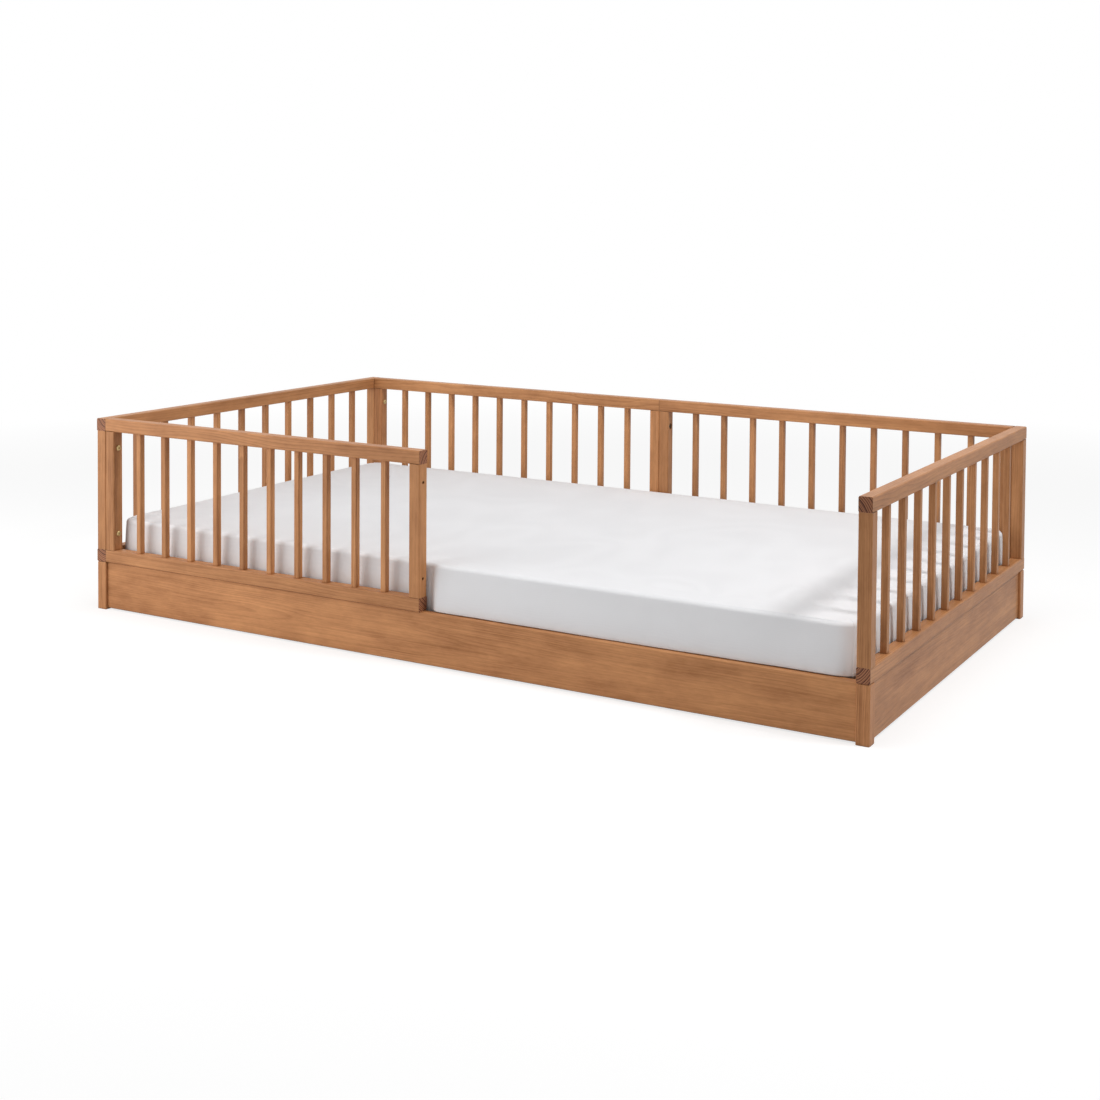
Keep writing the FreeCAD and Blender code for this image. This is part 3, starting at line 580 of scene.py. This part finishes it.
# the swell at the way in: it starts at the front guard's free post, on the front side only, is
# full just above the board and only half of that at the shoulder
ENTRY_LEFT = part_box("front_guard_right_post")[1].x
BOARD_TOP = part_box("base_front_board")[1].z
ENTRY_SWELL = 0.0205
ENTRY_CLEAR, ENTRY_RAMP = 0.002, 0.032
FRONT_START, FRONT_RAMP = 0.38, 0.11
SHELF_RAMP = 0.0005
LEAN_START, LEAN_RAMP, LEAN_SHARE = 0.005, 0.10, 0.50

# grid lines, as shares of an edge's round and as extra lines near the start of that swell
EDGE_SHARES = (0, 0.2, 0.4, 0.6, 0.8, 1)
LOW_SHARES = (0, 0.25, 0.5, 0.75, 1)
CLOSE_LINES = np.arange(-0.012, 0.055, 0.0045)
LEAST_SPACING = 0.0035


def smooth(value):
    value = np.clip(value, 0, 1)
    return value * value * (3 - 2 * value)


def stops(half, edge, spacing, close_to=()):
    """Places of the grid lines from -half to half: close at both edges and at close_to."""
    fine = np.array(EDGE_SHARES) * edge
    inner = np.linspace(-half + edge, half - edge, int(round(2 * (half - edge) / spacing)) + 1)
    extra = [spot + shift for spot in close_to for shift in CLOSE_LINES]
    kept = list(-half + fine) + list(half - fine)
    for spot in sorted(list(inner[1:-1]) + extra):
        if min(abs(spot - other) for other in kept) > LEAST_SPACING:
            kept.append(spot)
    return np.array(sorted(kept))


def half_size(grow):
    """Half the length and the depth of a soft block that is grown outwards by grow."""
    return ((MATTRESS_HIGH.x - MATTRESS_LOW.x) / 2 - SIDE_SWELL + grow,
            (MATTRESS_HIGH.y - MATTRESS_LOW.y) / 2 - SIDE_SWELL + grow)


def entry_swell(place, shelf):
    """How far each place on the block's side stands out at the way in."""
    x, y, z = place.T
    open_span = smooth((x - ENTRY_LEFT - ENTRY_CLEAR) / ENTRY_RAMP)
    front = smooth((-y - FRONT_START) / FRONT_RAMP)
    above = smooth((z - BOARD_TOP - shelf) / SHELF_RAMP)
    lean = 1 - LEAN_SHARE * smooth((z - BOARD_TOP - LEAN_START) / LEAN_RAMP)
    return (ENTRY_SWELL - SIDE_SWELL) * open_span * front * above * lean


def box_skin(form, xs, ys, zs, closed):
    """The skin of a box with grid lines at xs, ys and zs, with no underside unless closed.
    Returns its points by their numbers in the grid."""
    last_x, last_y, last_z = len(xs) - 1, len(ys) - 1, len(zs) - 1
    made = {}

    def quad(*corners):
        for key in corners:
            if key not in made:
                made[key] = form.verts.new((xs[key[0]], ys[key[1]], zs[key[2]]))
        form.faces.new([made[key] for key in corners])

    for i in range(last_x):
        for j in range(last_y):
            quad((i, j, last_z), (i + 1, j, last_z), (i + 1, j + 1, last_z), (i, j + 1, last_z))
            if closed:
                quad((i, j + 1, 0), (i + 1, j + 1, 0), (i + 1, j, 0), (i, j, 0))
    for k in range(last_z):
        for i in range(last_x):
            quad((i, 0, k), (i + 1, 0, k), (i + 1, 0, k + 1), (i, 0, k + 1))
            quad((i + 1, last_y, k), (i, last_y, k), (i, last_y, k + 1), (i + 1, last_y, k + 1))
        for j in range(last_y):
            quad((last_x, j, k), (last_x, j + 1, k), (last_x, j + 1, k + 1), (last_x, j, k + 1))
            quad((0, j + 1, k), (0, j, k), (0, j, k + 1), (0, j + 1, k + 1))
    return made


def round_off(skin, grow, hem_angle):
    """Where the points of a box's skin lie once its corners and edges are round, its sides
    swell and its top is crowned, and the inset of each point from the box's edge. Each ring
    of the grid becomes a ring with round corners, and each path over an edge a quarter
    circle. With a hem angle the low edge has turned in by that angle."""
    half_x, half_y = half_size(grow)
    top, bottom = MATTRESS_HIGH.z - CROWN_RISE + grow, MATTRESS_LOW.z
    round_top, round_low, corner = TOP_ROUND + grow, LOW_ROUND + grow, CORNER_ROUND + grow
    closed = hem_angle is None
    x, y, z = skin.T
    inset = np.minimum(half_x - np.abs(x), half_y - np.abs(y))

    # how far along its turn each point is, over the shoulder and under the low edge
    over, under = z > top - 1e-6, (z < bottom + 1e-6) & closed
    path_top = np.where(over, inset, z - top)
    angle_top = np.clip((path_top + round_top) / (2 * round_top), 0, 1) * math.pi / 2
    path_low = np.where(under, inset, bottom - z)
    whole, turned = (2 * round_low, math.pi / 2) if closed else (round_low, hem_angle)
    angle_low = np.clip((path_low + round_low) / whole, 0, 1) * turned
    stand_in = round_top * (1 - np.cos(angle_top)) + round_low * (1 - np.cos(angle_low))
    stand_in = np.where(over & (inset > round_top), inset, stand_in)
    stand_in = np.where(under & (inset > round_low), inset, stand_in)
    height = np.where(z > top - round_top, top - round_top + round_top * np.sin(angle_top), z)
    height = np.where(z < bottom + round_low, bottom + round_low * (1 - np.sin(angle_low)),
                      height)

    # the ring through each point, its swell and the crown
    near_x = np.clip(x, corner - half_x, half_x - corner)
    near_y = np.clip(y, corner - half_y, half_y - corner)
    off_x, off_y = x - near_x, y - near_y
    length = np.maximum(np.hypot(off_x, off_y), 1e-9)
    level = np.clip((height - bottom) / (top - bottom), 0, 1)
    swell = SIDE_SWELL * np.sin(math.pi * level) * (inset < 1e-6)
    radius = corner - stand_in + swell
    crown = CROWN_RISE * smooth((inset - CROWN_START) / (CROWN_END - CROWN_START))
    in_band = inset < corner
    place = np.stack([np.where(in_band, near_x + off_x / length * radius, x),
                      np.where(in_band, near_y + off_y / length * radius, y),
                      height + over * crown], 1)
    return place, inset


def soft_block(name, grow, spacing, levels, shelf, hem_angle=None):
    """A block with round edges in the mattress's place, grown outwards by grow. Its side has
    grid lines at levels, and its swell starts shelf above the front board. With a hem angle it
    is open below. Returns the piece, the inset of each of its points from the block's edge,
    and the points of the line that runs up each corner and over the shoulder."""
    half_x, half_y = half_size(grow)
    top, bottom = MATTRESS_HIGH.z - CROWN_RISE + grow, MATTRESS_LOW.z
    round_top, round_low = TOP_ROUND + grow, LOW_ROUND + grow
    xs = stops(half_x, round_top, spacing, (ENTRY_LEFT,))
    ys = stops(half_y, round_top, spacing)
    zs = np.array(sorted([bottom + share * round_low for share in LOW_SHARES] + list(levels)
                         + [top - share * round_top for share in EDGE_SHARES]))
    form = bmesh.new()
    made = box_skin(form, xs, ys, zs, closed=hem_angle is None)
    skin = np.array([vertex.co for vertex in form.verts])
    place, inset = round_off(skin, grow, hem_angle)
    place[:, 1] -= entry_swell(place, shelf)
    for vertex, spot in zip(form.verts, place):
        vertex.co = spot

    form.verts.index_update()
    last_x, last_y, last_z = len(xs) - 1, len(ys) - 1, len(zs) - 1
    corner_lines = []
    for i, j in ((0, 0), (last_x, 0), (last_x, last_y), (0, last_y)):
        step_x, step_y = (1 if i == 0 else -1), (1 if j == 0 else -1)
        keys = [(i, j, k) for k in range(last_z + 1)]
        keys += [(i + step_x * n, j + step_y * n, last_z)
                 for n in range(1, len(EDGE_SHARES) + 1)]
        corner_lines.append([made[key].index for key in keys])
    return new_piece(name, form), inset, corner_lines


PAD_SHELF = 0.0030
PAD_LEVELS = (0.104, 0.112, BOARD_TOP + PAD_SHELF, BOARD_TOP + PAD_SHELF + SHELF_RAMP, 0.122,
              0.132, 0.146, 0.162, 0.176)
mattress_pad, _, _ = soft_block("mattress_pad", -COVER_IN, 0.024, PAD_LEVELS, PAD_SHELF)
# the seams pull the cover in a little where the sides meet the top and the bottom
points = np.array([vertex.co for vertex in mattress_pad.data.vertices])
normals = np.array([vertex.normal for vertex in mattress_pad.data.vertices])
tall = MATTRESS_HIGH.z - CROWN_RISE - TOP_ROUND
for seam_at in (tall, MATTRESS_LOW.z + LOW_ROUND):
    near_seam = np.exp(-((points[:, 2] - seam_at) / SEAM_WIDE) ** 2)
    points -= normals * (SEAM_DEEP * near_seam)[:, None]
mattress_pad.data.vertices.foreach_set("co", points.ravel())
round_out = mattress_pad.modifiers.new("round_out", "SUBSURF")
round_out.levels = round_out.render_levels = 1

knit = Finish("knitted_cover")
spot = knit.place()
loops = knit.step("ShaderNodeTexVoronoi", {"Vector": spot, "Scale": 420.0}).outputs["Distance"]
quilt = knit.step("ShaderNodeTexVoronoi", {"Vector": spot, "Scale": 16.0},
                  distance="CHEBYCHEV").outputs["Distance"]
knit.skin.inputs["Sheen Weight"].default_value = 0.2
knit.surface(knit.colour(loops, rgb(234, 232, 226), rgb(206, 204, 198)),
             knit.between(loops, 0.0, 1.0, 0.85, 0.95),
             knit.sum(knit.times(loops, 0.3), quilt), 0.35, 0.0025)
knit.dress(mattress_pad)
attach(mattress_pad, "mattress")
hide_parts("mattress")


# Fitted sheet: plain white woven cotton, pulled over the mattress and held under its edge by
# an elastic hem. It lies taut and nearly flat on top, with faint folds that fan out from the
# corners, and a sewn seam runs up each corner.

SHEET_GAP = 0.0016
SHEET_THICK = 0.0006
HEM_ANGLE = math.radians(62)
# how far the cloth rises and falls: slowly, in small waves, in the folds, and down the sides
SLOW_RISE, FINE_RISE, FOLD_RISE, SIDE_RISE = 0.0012, 0.0006, 0.0016, 0.0004
DEEPEST_DIP = -0.0012
FOLD_CORNER = (0.955, 0.497)
FOLD_START, FOLD_FULL, FOLD_FADE = 0.07, 0.10, 0.30
FOLD_RAYS, FOLD_WANDER = 13, 5
FLAT_FROM_EDGE = 0.004
SIDE_START, SIDE_RAMP = 0.012, 0.05
SIDE_RIPPLES, SIDE_WANDER = 31, 7

SHEET_SHELF = 0.0004
SHEET_LEVELS = (0.096, 0.106, 0.1135, BOARD_TOP + SHEET_SHELF,
                BOARD_TOP + SHEET_SHELF + SHELF_RAMP, BOARD_TOP + 0.0020, BOARD_TOP + 0.0042,
                0.1235, 0.130, 0.140, 0.150, 0.160, 0.170, 0.180)
fitted_cotton, inset, corner_lines = soft_block("fitted_cotton", SHEET_GAP, 0.012,
                                                SHEET_LEVELS, SHEET_SHELF, HEM_ANGLE)
cloth = fitted_cotton.data
points = np.array([vertex.co for vertex in cloth.vertices])
normals = np.array([vertex.normal for vertex in cloth.vertices])
x, y, z = points.T

lift = np.zeros(len(points))
for index, (px, py, pz) in enumerate(points):
    slow = noise.noise(Vector((px * 2.3, py * 3.1, 0.4)))
    fine = noise.noise(Vector((px * 8 + 4.0, py * 6, pz * 4)))
    lift[index] = SLOW_RISE * slow + FINE_RISE * fine
# folds that fan out from each corner over the top
for side_x in (-1, 1):
    for side_y in (-1, 1):
        away_x = np.maximum(FOLD_CORNER[0] - side_x * x, 0)
        away_y = np.maximum(FOLD_CORNER[1] - side_y * y, 0)
        reach = np.hypot(away_x, away_y)
        bearing = np.arctan2(away_y, away_x + 1e-6)
        strong = smooth(reach / FOLD_START) * (1 - smooth((reach - FOLD_FULL) / FOLD_FADE))
        phase = 1.7 * side_x + 0.9 * side_y
        wander = 2 * np.sin(bearing * FOLD_WANDER + phase)
        fan = np.sin(bearing * FOLD_RAYS + phase + wander)
        lift += FOLD_RISE * strong * (inset > FLAT_FROM_EDGE) * fan
lift = np.maximum(lift, DEEPEST_DIP)
# ripples down the long sides
shoulder = MATTRESS_HIGH.z - CROWN_RISE
side = smooth((shoulder - SIDE_START - z) / SIDE_RAMP) * (np.abs(normals[:, 1]) > 0.7)
lift += SIDE_RISE * side * np.sin(x * SIDE_RIPPLES + 2.5 * np.sin(x * SIDE_WANDER))
points += normals * lift[:, None]
cloth.vertices.foreach_set("co", points.ravel())
cloth.update()

thick = fitted_cotton.modifiers.new("cloth_thickness", "SOLIDIFY")
thick.thickness = SHEET_THICK
thick.offset = -1
round_out = fitted_cotton.modifiers.new("round_out", "SUBSURF")
round_out.levels = round_out.render_levels = 1

cotton = Finish("white_cotton")
spot = cotton.place()
threads = [cotton.step("ShaderNodeTexWave", {"Vector": spot, "Scale": 560.0, "Distortion": 1.5,
                                             "Detail": 1.0}, bands_direction=axis).outputs["Fac"]
           for axis in "XYZ"]
weave = cotton.times(cotton.sum(threads[0], threads[1]), cotton.sum(threads[2], 0.6))
worn = cotton.step("ShaderNodeTexNoise", {"Vector": spot, "Scale": 5.0, "Detail": 4.0})
crease = cotton.step("ShaderNodeTexNoise", {"Vector": spot, "Scale": 14.0, "Detail": 5.0,
                                            "Roughness": 0.55}).outputs["Fac"]
cotton.skin.inputs["Specular IOR Level"].default_value = 0.2
cotton.skin.inputs["Sheen Weight"].default_value = 0.12
tint = cotton.colour(worn.outputs["Fac"], rgb(243, 243, 245), rgb(236, 236, 238))
cotton.surface(cotton.colour(cotton.between(weave, 0.0, 2.0, 0.0, 0.10), tint,
                             rgb(214, 213, 216)),
               cotton.between(weave, 0.0, 2.0, 0.90, 0.78),
               cotton.sum(cotton.times(weave, 0.10), crease), 0.32, 0.002)
cotton.dress(fitted_cotton)

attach(fitted_cotton, "mattress")
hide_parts("fitted_sheet")

# the hem: a gathered tube of the same cotton round its elastic, just under the low edge
HEM_RADIUS, HEM_SIDES = 0.0013, 6
HEM_OFF = 0.0006
HEM_FLAT = 0.8
GATHER, GATHER_SHARE, GATHER_STEPS = 0.011, 0.22, 3
ARC_STEPS = 12
low_turn = LOW_ROUND + SHEET_GAP
hem_in = low_turn * (1 - math.cos(HEM_ANGLE)) + HEM_OFF
hem_z = MATTRESS_LOW.z + low_turn * (1 - math.sin(HEM_ANGLE)) + HEM_OFF
hem_corner = CORNER_ROUND + SHEET_GAP - hem_in
straight_x, straight_y = (half - hem_in - hem_corner for half in half_size(SHEET_GAP))


def hem_arc(turn):
    """The hem's path round one corner. Corner 0 is at the back right, and 1 at the back left."""
    side_x, side_y = ((1, 1), (-1, 1), (-1, -1), (1, -1))[turn % 4]
    middle = Vector((straight_x * side_x, straight_y * side_y, hem_z))
    angles = (math.pi / 2 * (turn + number / ARC_STEPS) for number in range(ARC_STEPS + 1))
    return [middle + hem_corner * Vector((math.cos(angle), math.sin(angle), 0))
            for angle in angles]


path = []
for turn in range(4):
    path += hem_arc(turn)
    start, end = path[-1], hem_arc(turn + 1)[0]
    steps = int((end - start).length / (GATHER / GATHER_STEPS))
    path += [start.lerp(end, number / steps) for number in range(1, steps)]

hem_form = bmesh.new()
hoops = []
walked = 0.0
for number, spot in enumerate(path):
    before, after = path[number - 1], path[(number + 1) % len(path)]
    ahead = (after - before).normalized()
    out = Vector((ahead.y, -ahead.x, 0))
    walked += (spot - before).length if number else 0
    fat = HEM_RADIUS * (1 + GATHER_SHARE * math.sin(2 * math.pi * walked / GATHER))
    hoops.append([hem_form.verts.new(spot + out * (fat * math.cos(angle))
                                     + Vector((0, 0, fat * HEM_FLAT * math.sin(angle))))
                  for angle in (2 * math.pi * k / HEM_SIDES for k in range(HEM_SIDES))])
for start, end in zip(hoops, hoops[1:] + hoops[:1]):
    join_rings(hem_form, start, end)
sheet_hem = new_piece("sheet_hem", hem_form)
cotton.dress(sheet_hem)
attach(sheet_hem, "mattress")

# the four corner seams: a narrow sewn ridge from the hem up and just over the shoulder, where
# it runs out flat
RIDGE_HALF, RIDGE_SIDES = 0.0011, 8
RIDGE_HIGH, RIDGE_OFF = 0.7, 0.0002
RIDGE_STEPS = 4
RIDGE_FADE = 6
STITCH_TURN, STITCH_SHARE = 0.37, 0.15

seam_form = bmesh.new()
for line in corner_lines:
    spots = [Vector(points[index]) for index in line]
    outward = [Vector(normals[index]) for index in line]
    last = len(spots) - 1
    rings = []
    for number in range(RIDGE_STEPS * last + 1):
        here, part = divmod(number, RIDGE_STEPS)
        after = min(here + 1, last)
        spot = spots[here].lerp(spots[after], part / RIDGE_STEPS)
        up = outward[here].lerp(outward[after], part / RIDGE_STEPS).normalized()
        ahead = (spots[after] - spots[max(here - 1, 0)]).normalized()
        beside = ahead.cross(up).normalized()
        fade = min(1.0, (RIDGE_STEPS * last - number + 1) / RIDGE_FADE)
        stitch = 1 + STITCH_SHARE * math.sin(2 * math.pi * number * STITCH_TURN)
        fat = RIDGE_HALF * fade * stitch
        rings.append([seam_form.verts.new(
            spot + beside * (fat * math.cos(angle))
            + up * (fat * RIDGE_HIGH * math.sin(angle) + RIDGE_OFF))
            for angle in (2 * math.pi * k / RIDGE_SIDES for k in range(RIDGE_SIDES))])
    for start, end in zip(rings, rings[1:]):
        join_rings(seam_form, start, end)
    seam_form.faces.new(reversed(rings[0]))
    seam_form.faces.new(rings[-1])
sheet_seams = new_piece("sheet_seams", seam_form)
cotton.dress(sheet_seams)
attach(sheet_seams, "mattress")


# Floor and backdrop: a pale matt floor that turns into plain white away from the bed, and
# keeps the bed's soft shadow.

FLOOR_SIDE = 40
FLOOR_MATT, SEEN_MATT = 0.66, 0.36
FADE_START, FADE_END = 1.5, 4.0
NEAR_WHITE, FAR_WHITE = 0.70, 1.0


def looked_at(finish):
    """1 where the camera, a reflection or a clear surface looks, and 0 for bounced light."""
    rays = finish.step("ShaderNodeLightPath").outputs
    looks = rays["Is Camera Ray"]
    for ray in ("Is Glossy Ray", "Is Transmission Ray"):
        looks = finish.step("ShaderNodeMath", {0: looks, 1: rays[ray]},
                            operation="MAXIMUM").outputs[0]
    return looks


floor_form = bmesh.new()
bmesh.ops.create_grid(floor_form, x_segments=8, y_segments=8, size=FLOOR_SIDE / 2)
floor = new_piece("floor", floor_form)
paint = Finish("floor_paint")
end = paint.tree.nodes["Material Output"]
paint.tree.nodes.remove(paint.skin)
matt = paint.step("ShaderNodeBsdfDiffuse", {"Color": (FLOOR_MATT,) * 3 + (1.0,)})
far = paint.step("ShaderNodeVectorMath", {0: paint.place()}, operation="LENGTH").outputs["Value"]
thin = paint.colour(paint.between(far, FADE_START, FADE_END), (SEEN_MATT,) * 3 + (1.0,),
                    (0.0, 0.0, 0.0, 1.0))
seen_matt = paint.step("ShaderNodeBsdfDiffuse", {"Color": thin})
white = paint.step("ShaderNodeEmission", {
    "Strength": paint.between(far, FADE_START, FADE_END, NEAR_WHITE, FAR_WHITE)})
both = paint.step("ShaderNodeAddShader", {0: seen_matt.outputs[0], 1: white.outputs[0]})
choose = paint.step("ShaderNodeMixShader", {0: looked_at(paint), 1: matt.outputs[0],
                                            2: both.outputs[0]})
paint.tree.links.new(choose.outputs[0], end.inputs[0])
paint.dress(floor)

# studio light: even light from all round, a broad lamp above, a near one at the front left
# that falls off along the bed, and a small one at the right that lays the right guard's soft
# shadow on the sheet
AIR_LIGHT = 0.30
world = bpy.data.worlds.new("studio_air")
world.use_nodes = True
bpy.context.scene.world = world
air = Wiring(world.node_tree)
air.tree.nodes.clear()
glow = air.step("ShaderNodeBackground", {"Color": (1.0, 1.0, 1.0, 1.0), "Strength": AIR_LIGHT})
backdrop = air.step("ShaderNodeBackground", {"Color": (1.0, 1.0, 1.0, 1.0), "Strength": 1.0})
pick = air.step("ShaderNodeMixShader", {0: looked_at(air), 1: glow.outputs[0],
                                        2: backdrop.outputs[0]})
air.step("ShaderNodeOutputWorld", {0: pick.outputs[0]})


def soft_lamp(name, place, aim, width, power):
    """A square lamp at place that looks at aim, width metres wide, of power watts."""
    lamp = bpy.data.lights.new(name, "AREA")
    lamp.shape = "SQUARE"
    lamp.size = width
    lamp.energy = power
    holder = bpy.data.objects.new(name, lamp)
    holder.location = place
    holder.rotation_euler = (Vector(aim) - Vector(place)).to_track_quat("-Z", "Y").to_euler()
    bpy.context.scene.collection.objects.link(holder)


soft_lamp("top_lamp", (0.30, -0.15, 3.0), (0.10, 0.0, 0.2), 2.2, 33)
soft_lamp("front_left_lamp", (-1.9, -1.9, 1.1), (-0.8, -0.4, 0.2), 2.3, 40)
soft_lamp("right_lamp", (2.45, -0.20, 2.50), (0.8, -0.20, 0.2), 0.5, 34)


# Camera: a metre above the floor, off the bed's front right corner. The photograph's frame is
# square, and the bed's vanishing lines put the lens's axis right of and above its centre.

PHOTO_SIDE = 1100
PHOTO_MIDDLE = (639.0, 259.8)
FOCAL_PIXELS = 1595.2
SENSOR = 36
CAMERA_PLACE = (1.9919, -3.2921, 1.0053)
CAMERA_TURN, CAMERA_DOWN, CAMERA_ROLL = 28.4426, 2.1735, 0.5227

view = bpy.data.cameras.new("camera")
view.sensor_width = SENSOR
view.lens = FOCAL_PIXELS / PHOTO_SIDE * SENSOR
view.shift_x = (PHOTO_SIDE / 2 - PHOTO_MIDDLE[0]) / PHOTO_SIDE
view.shift_y = (PHOTO_MIDDLE[1] - PHOTO_SIDE / 2) / PHOTO_SIDE
camera = bpy.data.objects.new("camera", view)
camera.matrix_world = (Matrix.Translation(CAMERA_PLACE)
                       @ Matrix.Rotation(math.radians(CAMERA_TURN), 4, "Z")
                       @ Matrix.Rotation(math.radians(90 - CAMERA_DOWN), 4, "X")
                       @ Matrix.Rotation(math.radians(CAMERA_ROLL), 4, "Z"))
bpy.context.scene.collection.objects.link(camera)
bpy.context.scene.camera = camera
bpy.context.scene.view_settings.view_transform = "Standard"
